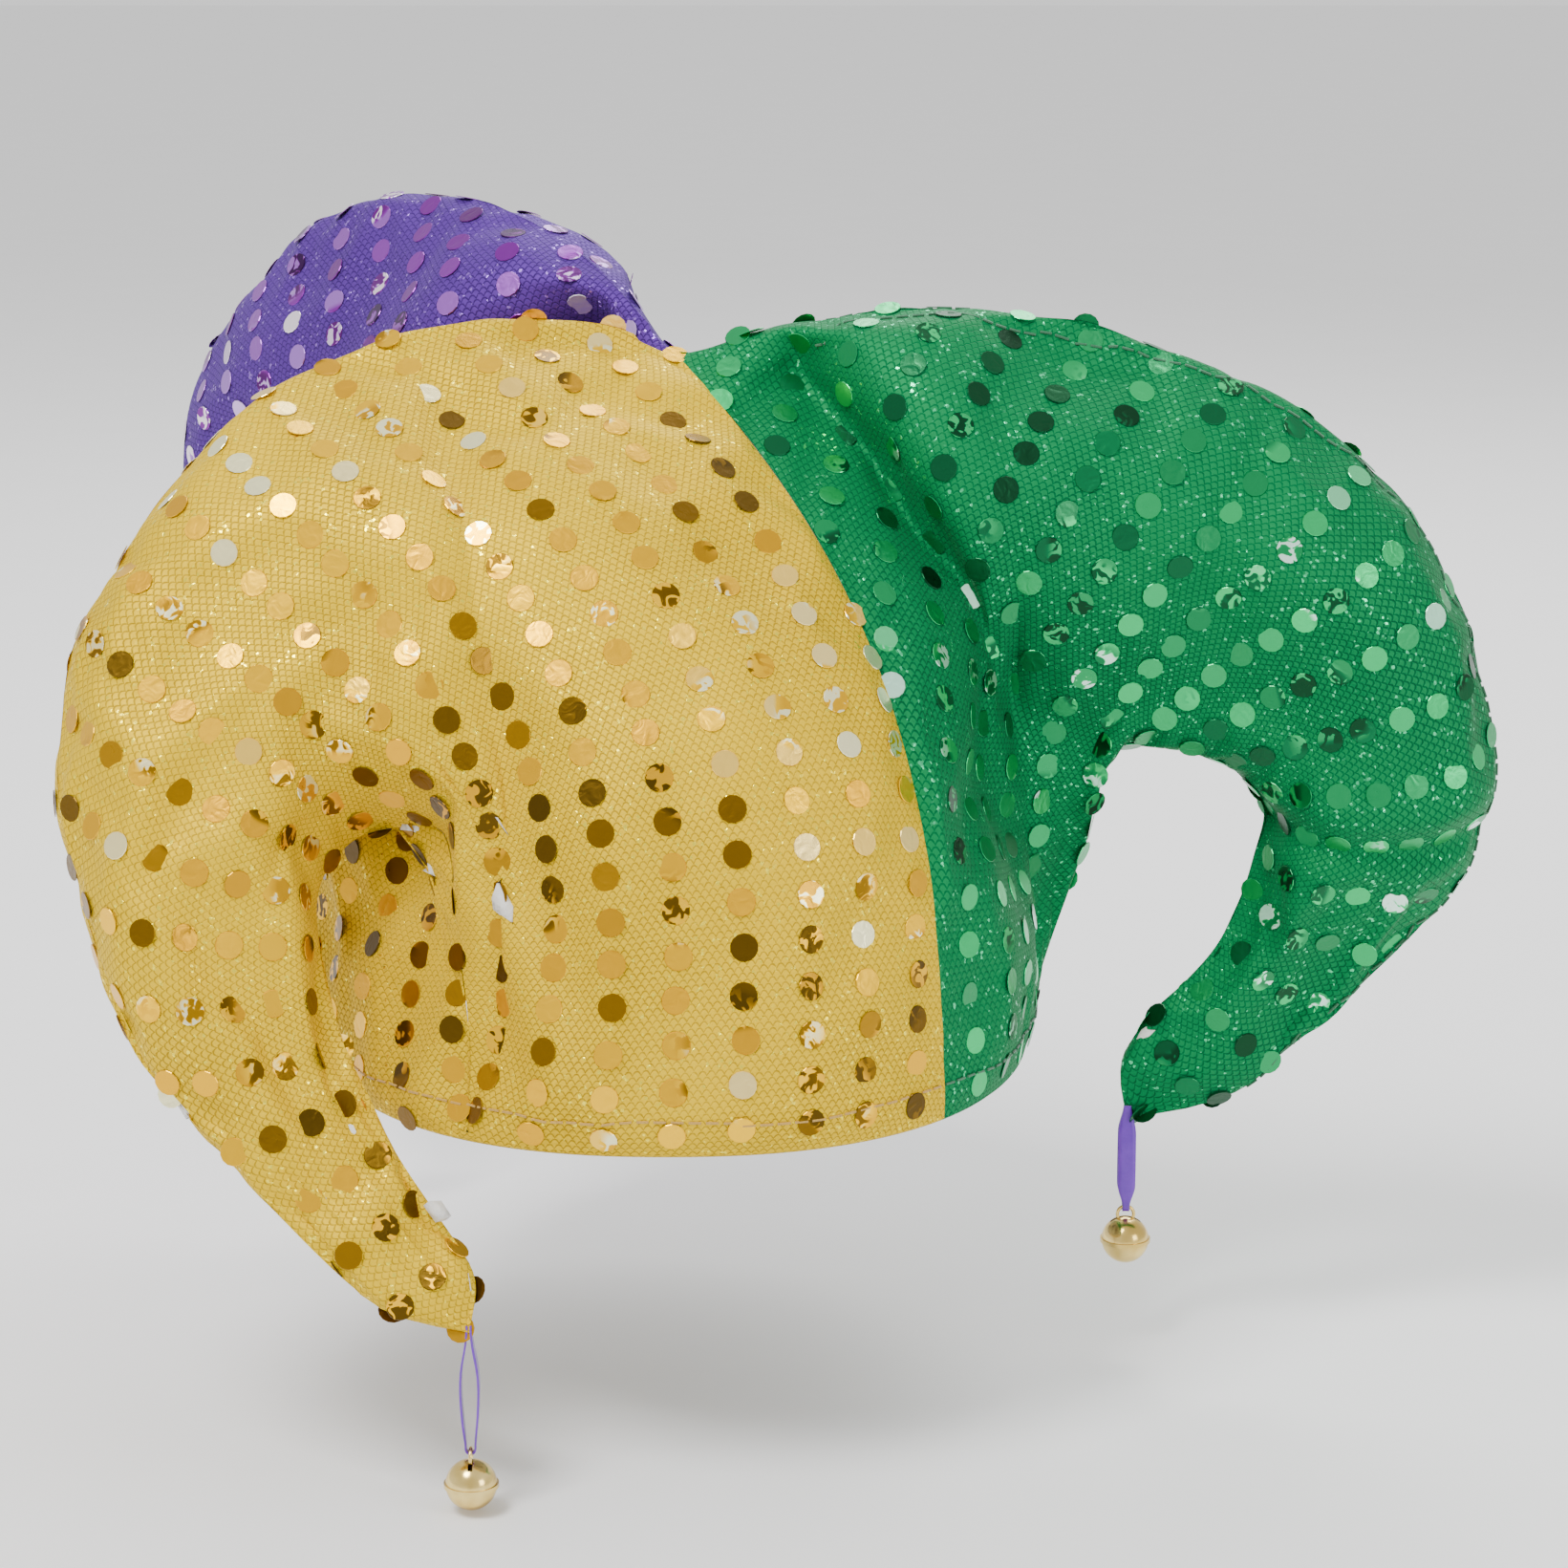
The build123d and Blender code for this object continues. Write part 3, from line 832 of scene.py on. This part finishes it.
# Each ramp runs from a painted dark reflection through the foil colour to a painted white flash.
sequin_finishes = {
    "yellow": sequin_finish("gold sequin foil", [
        (0.05, rgb(0.085, 0.045, 0.0)), (0.26, rgb(0.22, 0.11, 0.0)), (0.40, rgb(0.72, 0.36, 0.0)),
        (0.72, rgb(1, 0.58, 0.0)), (0.90, rgb(1, 0.95, 0.55)),
    ]),
    "green": sequin_finish("green sequin foil", [
        (0.05, rgb(0.002, 0.045, 0.015)), (0.26, rgb(0.004, 0.12, 0.04)), (0.45, rgb(0.006, 0.33, 0.10)),
        (0.78, rgb(0.0, 0.62, 0.17)), (0.94, rgb(0.7, 1, 0.85)),
    ]),
    "purple": sequin_finish("violet sequin foil", [
        (0.05, rgb(0.04, 0.003, 0.07)), (0.26, rgb(0.14, 0.008, 0.20)), (0.45, rgb(0.26, 0.02, 0.40)),
        (0.72, rgb(0.45, 0.2, 0.72)), (0.88, rgb(1, 0.9, 1)),
    ]),
}
sequin_pieces = {
    (colour, side): sequins_on(piece, f"{colour}_{side}_sequins") for (colour, side), piece in panel_pieces.items()
}


# %% [markdown]
# ## The lining
# Under the cloth lies a thin foam that keeps the points round and the cap off the head. It is the same skin,
# set in by little more than the cloth's own thickness and given its real thickness inwards, one piece per
# colour.

# %% Foam lining
LINING_GAP = 1.3 * MM
FOAM = 2.4 * MM


def thickened(obj, thickness):
    """The object's mesh with a thickness given inwards."""
    wall = obj.modifiers.new("wall", "SOLIDIFY")
    wall.thickness = thickness
    wall.offset = -1
    graph = bpy.context.evaluated_depsgraph_get()
    mesh = bpy.data.meshes.new_from_object(obj.evaluated_get(graph))
    obj.modifiers.remove(wall)
    return mesh


def under_the_cloth(co):
    """Whether a point lies inside the skin and not too near to it."""
    on, normal, _, distance = skin_tree.find_nearest(co)
    return (co - on).dot(normal) < 0 and distance > 0.6 * LINING_GAP


def lining_of(colour):
    """The foam of one colour, left out where a fold or a seam is too tight for its thickness."""
    bm = bmesh.new()
    bm.from_mesh(skin.data)
    inwards = [-vert.normal.copy() for vert in bm.verts]
    tight = set()
    for vert, way in zip(bm.verts, inwards):
        vert.co += way * LINING_GAP
        if not under_the_cloth(vert.co) or not under_the_cloth(vert.co + way * FOAM):
            tight.add(vert)
    numbers = [n for n, panel in enumerate(PANELS) if panel[0] == colour]
    bad = [f for f in bm.faces if f.material_index not in numbers or tight.intersection(f.verts)]
    bmesh.ops.delete(bm, geom=bad, context="FACES")
    for face in bm.faces:
        face.material_index = 0
        face.smooth = True
    inner = mesh_from(bm, f"{colour}_foam_lining")
    inner.data = thickened(inner, FOAM)
    return inner


def foam_finish():
    finish = Finish("lining foam")
    place = finish.node("ShaderNodeTexCoord", {}, {}, out=3)
    pores = finish.node("ShaderNodeTexVoronoi", {}, {"Vector": place, "Scale": 900})
    cloudy = finish.node("ShaderNodeTexNoise", {}, {"Vector": place, "Scale": 30, "Detail": 4})
    colour = finish.mix(cloudy, rgb(0.62, 0.60, 0.55), rgb(0.78, 0.77, 0.73))
    return finish.surface(
        Base_Color=colour, Roughness=0.92, Sheen_Weight=0.3, Normal=finish.bump(pores, 0.5, 0.4 * MM)
    )


foam = foam_finish()
linings = {colour: lining_of(colour) for colour in points}
bpy.data.objects.remove(skin)


# %% [markdown]
# ## Hem and stitches
# The lower edge is turned in and stitched down, so the cloth rolls under and comes up again inside. The thread
# shows outside as a row of short dashes. A stitch is a tiny capsule laid on the cloth between two needle
# holes, and the cloth between the holes hides the rest of the thread.

# %% Hem
HEM_ROLL = [(0, 1.5), (0.1, 0.2), (0.9, -0.7), (2.1, -0.9), (3.3, -0.6), (4.3, 0.4), (4.6, 4), (4.8, 12)]
HEM_STEPS = 90
STITCH, STITCH_GAP, THREAD = 2.6 * MM, 1.0 * MM, 0.28 * MM


def hem_of(colour, side):
    """The turned-in edge of one panel, a strip that follows the head opening."""
    point = points[colour]
    bm = bmesh.new()
    flat = bm.loops.layers.uv.new("cloth")
    bmesh.ops.create_grid(bm, x_segments=HEM_STEPS, y_segments=len(HEM_ROLL) - 1, size=1)
    places = {}
    for vert in bm.verts:
        share = (vert.co.x + 1) / 2
        row = round((vert.co.y + 1) / 2 * (len(HEM_ROLL) - 1))
        inset, rise = HEM_ROLL[row]
        foot = hem_at(point.hem_angle(side, share))
        co = foot + foot.normalized() * -inset
        places[vert] = (share, row)
        vert.co = Vector((co.x, co.y, rise)) * MM
    for face in bm.faces:
        face.smooth = True
        for loop in face.loops:
            share, row = places[loop.vert]
            loop[flat].uv = (share * 0.09, row * 0.0018)
    if side == "right":
        bmesh.ops.reverse_faces(bm, faces=bm.faces)
    return mesh_from(bm, f"{colour}_{side}_hem")


hems = {panel: hem_of(*panel) for panel in PANELS}


def stitches(name, line):
    """Dashes of thread laid on the cloth along a line of points in metres."""
    bm = bmesh.new()
    lengths = [0]
    for a, b in zip(line, line[1:]):
        lengths.append(lengths[-1] + (b - a).length)
    count = int(lengths[-1] / (STITCH + STITCH_GAP))

    def at(distance):
        index = max(i for i, length in enumerate(lengths[:-1]) if length <= distance or i == 0)
        part = (distance - lengths[index]) / max(lengths[index + 1] - lengths[index], 1e-9)
        on, normal, _, _ = skin_tree.find_nearest(line[index].lerp(line[index + 1], min(part, 1)))
        return on + normal * THREAD * 0.9

    for number in range(count):
        start = at(number * (STITCH + STITCH_GAP))
        end = at(number * (STITCH + STITCH_GAP) + STITCH)
        seat = Matrix.Translation((start + end) / 2) @ (end - start).to_track_quat("Z", "Y").to_matrix().to_4x4()
        bmesh.ops.create_cone(
            bm, cap_ends=True, segments=6, radius1=THREAD, radius2=THREAD, depth=(end - start).length, matrix=seat
        )
    print(name, count, "stitches")
    return mesh_from(bm, name)


def thread_finish(name, colour):
    finish = Finish(name)
    place = finish.node("ShaderNodeTexCoord", {}, {}, out=3)
    twist = finish.node("ShaderNodeTexNoise", {}, {"Vector": place, "Scale": 2500})
    return finish.surface(
        Base_Color=finish.mix(twist, rgb(*(0.4 * c for c in colour)), rgb(*colour)), Roughness=0.6, Sheen_Weight=0.4
    )


THREADS = {
    colour: thread_finish(f"{colour} thread", shade)
    for colour, shade in {
        "yellow": (0.62, 0.36, 0.05), "green": (0.01, 0.16, 0.06), "purple": (0.16, 0.06, 0.35)
    }.items()
}
HEM_STITCH_RISE = 7.5
CREST_STITCH_SHARE = 0.95
hem_stitches, crest_stitches = {}, {}
for colour, point in points.items():
    first, last = point.facts["side_seams"]
    line = []
    for step in range(HEM_STEPS + 1):
        foot = hem_at(first + (last - first) * step / HEM_STEPS)
        line.append(Vector((foot.x, foot.y, HEM_STITCH_RISE)) * MM)
    hem_stitches[colour] = stitches(f"{colour}_hem_stitches", line)
for side in ("left", "right"):
    line = [points["green"].cloth(side, 0.12 + 0.86 * i / 80, CREST_STITCH_SHARE) * MM for i in range(81)]
    crest_stitches[side] = stitches(f"green_{side}_crest_stitches", line)


# %% [markdown]
# ## Ribbons
# The ribbon goes down from the seam at the tip, round the wire of the bell and up again, as one open loop. Its
# line is a smooth curve through the same stations as the CAD strip. The band keeps its width crosswise to the
# loop, is gathered where it enters the seam and narrows again at the wire.

# %% Ribbon loops
RIBBON = {
    "yellow": {"pivot": (-41.691, -101.140, -36.443), "drop": 28, "across": (1, 0, 0), "length": 58.7},
    "green": {"pivot": (104, 0, -19.5), "drop": 25, "across": (0, 1, 0), "length": 52.8},
    "purple": {"pivot": (-81.313, 96.905, -1.5), "drop": 26, "across": (1, 0, 0), "length": 54.7},
}
RIBBON_WIDTH, RIBBON_NECK = 4.0, 1.6
RIBBON_THICKNESS = 0.4
RIBBON_GAP, RIBBON_STRAIGHT = 0.5, 1.5
HALF_NECK, HALF_LOOP, HALF_LOOP_LOW = 0.4, 2, 1.8
PARTING, WIDEST_TOP, WIDEST_LOW = 0.12, 0.4, 0.7  # shares of the drop
FOLD = 1.05  # radius of the line round the wire


def ribbon_route(facts):
    """Points down one strand, round the wire and up the other, in metres."""
    drop = facts["drop"]
    strand = [
        (HALF_NECK, -RIBBON_GAP), (HALF_NECK, -PARTING * drop), (HALF_LOOP, -WIDEST_TOP * drop),
        (HALF_LOOP_LOW, -WIDEST_LOW * drop), (FOLD, -drop + RIBBON_STRAIGHT), (FOLD, -drop),
    ]
    bottom = [
        (FOLD * math.cos(angle), -drop - FOLD * math.sin(angle)) for angle in (math.pi * i / 6 for i in range(1, 6))
    ]
    outline = strand + bottom + [(-x, y) for x, y in reversed(strand)]
    across = Vector(facts["across"])
    return [(Vector(facts["pivot"]) + across * x + Vector((0, 0, y))) * MM for x, y in outline]


def curve_through(name, route):
    """A smooth NURBS line near the route, read back as evenly spaced points."""
    curve = bpy.data.curves.new(name, "CURVE")
    curve.dimensions = "3D"
    curve.resolution_u = 12
    spline = curve.splines.new("NURBS")
    spline.points.add(len(route) - 1)
    for target, co in zip(spline.points, route):
        target.co = (*co, 1)
    spline.order_u = 3
    spline.use_endpoint_u = True
    carrier = new_object(name, curve)
    bpy.context.view_layer.update()
    line = bpy.data.meshes.new_from_object(carrier)
    read = [v.co.copy() for v in line.vertices]
    bpy.data.objects.remove(carrier)
    bpy.data.curves.remove(curve)
    bpy.data.meshes.remove(line)
    return read


def ribbon_of(colour, facts):
    line = curve_through(f"{colour}_ribbon_line", ribbon_route(facts))
    wide = Vector((0, 0, 1)).cross(Vector(facts["across"])).normalized()
    top = facts["pivot"][2] * MM
    rows = []
    for co in line:
        share = (top - co.z) / (facts["drop"] * MM)
        belly = smooth(share / 0.28) * smooth((1 - share) / 0.22)
        rows.append((co, (RIBBON_NECK + (RIBBON_WIDTH - RIBBON_NECK) * belly) * MM / 2))
    bm = bmesh.new()
    flat = bm.loops.layers.uv.new("cloth")
    bmesh.ops.create_grid(bm, x_segments=len(rows) - 1, y_segments=4, size=1)
    for vert in bm.verts:
        index = round((vert.co.x + 1) / 2 * (len(rows) - 1))
        aside = vert.co.y
        co, half = rows[index]
        vert.co = co + wide * half * aside
    for face in bm.faces:
        face.smooth = True
        for loop in face.loops:
            away = loop.vert.co - Vector(facts["pivot"]) * MM
            loop[flat].uv = (away.dot(wide), away.z)
    strip = mesh_from(bm, f"{colour}_satin_ribbon")
    band = strip.modifiers.new("band", "SOLIDIFY")
    band.thickness = RIBBON_THICKNESS * MM
    band.offset = 0
    graph = bpy.context.evaluated_depsgraph_get()
    solid = bpy.data.meshes.new_from_object(strip.evaluated_get(graph))
    strip.modifiers.remove(band)
    strip.data = solid
    print(colour, "ribbon", round(sum((b - a).length for a, b in zip(line, line[1:])) / MM, 1), "mm")
    return strip, line


def satin_finish():
    finish = Finish("violet satin ribbon")
    flat = finish.node("ShaderNodeUVMap", {"uv_map": "cloth"}, {})
    x = finish.node("ShaderNodeSeparateXYZ", {}, {0: flat}, out=0)
    y = finish.node("ShaderNodeSeparateXYZ", {}, {0: flat}, out=1)
    ribs = (y * (2 * math.pi / (0.35 * MM))).maths("SINE")
    selvage = x.maths("ABSOLUTE").between(1.2 * MM, 1.9 * MM)
    waves = finish.node("ShaderNodeTexNoise", {}, {"Vector": flat, "Scale": 300, "Detail": 2})
    colour = finish.mix(waves * 0.7 + selvage * 0.3, rgb(0.085, 0.008, 0.33), rgb(0.19, 0.03, 0.55))
    return finish.surface(
        Base_Color=colour, Roughness=0.34 + selvage * 0.25, Sheen_Weight=0.5, Sheen_Roughness=0.3,
        Normal=finish.bump(ribs + waves * 2, 0.25, 0.06 * MM), Coat_Weight=0.15,
    )


satin = satin_finish()
ribbons = {colour: ribbon_of(colour, facts) for colour, facts in RIBBON.items()}


# %% [markdown]
# ## Bells
# The bells keep their CAD shape, pressed from thin brass. What they need is the metal: a warm polish with fine
# marks from tumbling against each other, a little darker where hands don't reach.

# %% Bell metal
def bell_finish():
    finish = Finish("polished bell brass")
    place = finish.node("ShaderNodeTexCoord", {}, {}, out=3)
    scuffs = finish.node("ShaderNodeTexNoise", {}, {"Vector": place, "Scale": 900, "Detail": 5})
    stain = finish.node("ShaderNodeTexNoise", {}, {"Vector": place, "Scale": 140, "Detail": 2})
    colour = finish.mix(stain.between(0.3, 0.7), rgb(0.62, 0.42, 0.10), rgb(0.95, 0.74, 0.28))
    return finish.surface(
        Base_Color=colour, Metallic=1.0, Roughness=0.12 + scuffs * 0.16, Normal=finish.bump(scuffs, 0.2, 0.1 * MM)
    )


def pellet_finish():
    finish = Finish("steel pellet")
    place = finish.node("ShaderNodeTexCoord", {}, {}, out=3)
    scuffs = finish.node("ShaderNodeTexNoise", {}, {"Vector": place, "Scale": 1500, "Detail": 4})
    return finish.surface(Base_Color=rgb(0.48, 0.48, 0.47), Metallic=1.0, Roughness=0.22 + scuffs * 0.2)


bell_brass, pellet_steel = bell_finish(), pellet_finish()


def dress(piece, material):
    piece.data.materials.clear()
    piece.data.materials.append(material)


for colour in points:
    for node in ("bell_top", "bell_bottom", "bell_shank"):
        dress(bpy.data.objects[f"{colour}_{node}"], bell_brass)
    dress(bpy.data.objects[f"{colour}_bell_pellet"], pellet_steel)

# %% [markdown]
# ## What moves with what
# The cap stays on the head. A point flops at its bend, but the pieces that cross the bend are only given their
# finish and fixed where they stand, on no body. The hem stays with the cap, and the ribbon swings under the tip.

# %% Pieces on their bodies
for colour, point in points.items():
    (out, up), near, far = point.facts["bend"]
    start, end = (point.place(out * away, up * away) * MM for away in (near, far))

    def bend(piece, material):
        dress(piece, material)
        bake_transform(piece)

    for side in ("left", "right"):
        panel, sequins, hem = panel_pieces[colour, side], sequin_pieces[colour, side], hems[colour, side]
        bend(panel, cloth_finishes[colour])
        bend(sequins, sequin_finishes[colour])
        dress(hem, cloth_finishes[colour])
        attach(hem, "cap")
        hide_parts(f"{colour}_{side}_panel")
    bend(linings[colour], foam)
    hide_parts(f"{colour}_cap_lining", f"{colour}_point_lining")
    dress(hem_stitches[colour], THREADS[colour])
    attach(hem_stitches[colour], "cap")
    if colour == "green":
        for piece in crest_stitches.values():
            bend(piece, THREADS[colour])
    ribbon, line = ribbons[colour]
    dress(ribbon, satin)
    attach(ribbon, f"{colour}_ribbon_loop")
    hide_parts(f"{colour}_ribbon")

for (colour, side), panel in panel_pieces.items():
    colour == "green"

# %% [markdown]
# ## The studio
# A pale floor just under the lowest bell, a bright even room, a large soft key from the upper left and a
# weaker one from the right. Foil needs something to reflect, so the lamps are large.

# %% Floor and light
floor_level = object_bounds()[0][2] - 1 * MM
bm = bmesh.new()
bmesh.ops.create_grid(bm, x_segments=1, y_segments=1, size=6, matrix=Matrix.Translation((0, 0, floor_level)))
floor = mesh_from(bm, "studio_floor")
paper = Finish("studio paper")
grain = paper.node("ShaderNodeTexNoise", {}, {"Scale": 300, "Detail": 3})
dress(floor, paper.surface(Base_Color=paper.mix(grain, rgb(0.90, 0.90, 0.90), rgb(0.93, 0.93, 0.93)), Roughness=0.9))

room = bpy.data.worlds.new("room")
bpy.context.scene.world = room
room.use_nodes = True
room.node_tree.nodes["Background"].inputs["Color"].default_value = rgb(1, 1, 1)
room.node_tree.nodes["Background"].inputs["Strength"].default_value = 1.0

LAMPS = {
    "key": ((-0.5, -0.7, 1.3), 0.5, 22),
    "fill": ((1.1, -0.9, 0.4), 0.5, 5),
    "back": ((0.3, 1.0, 1.1), 0.8, 14),
}
for name, (where, size, watts) in LAMPS.items():
    lamp = bpy.data.objects.new(name, bpy.data.lights.new(name, "AREA"))
    lamp.data.size = size
    lamp.data.energy = watts
    lamp.location = where
    lamp.rotation_euler = (Vector(where) - LOOK_AT).to_track_quat("Z", "Y").to_euler()
    bpy.context.scene.collection.objects.link(lamp)
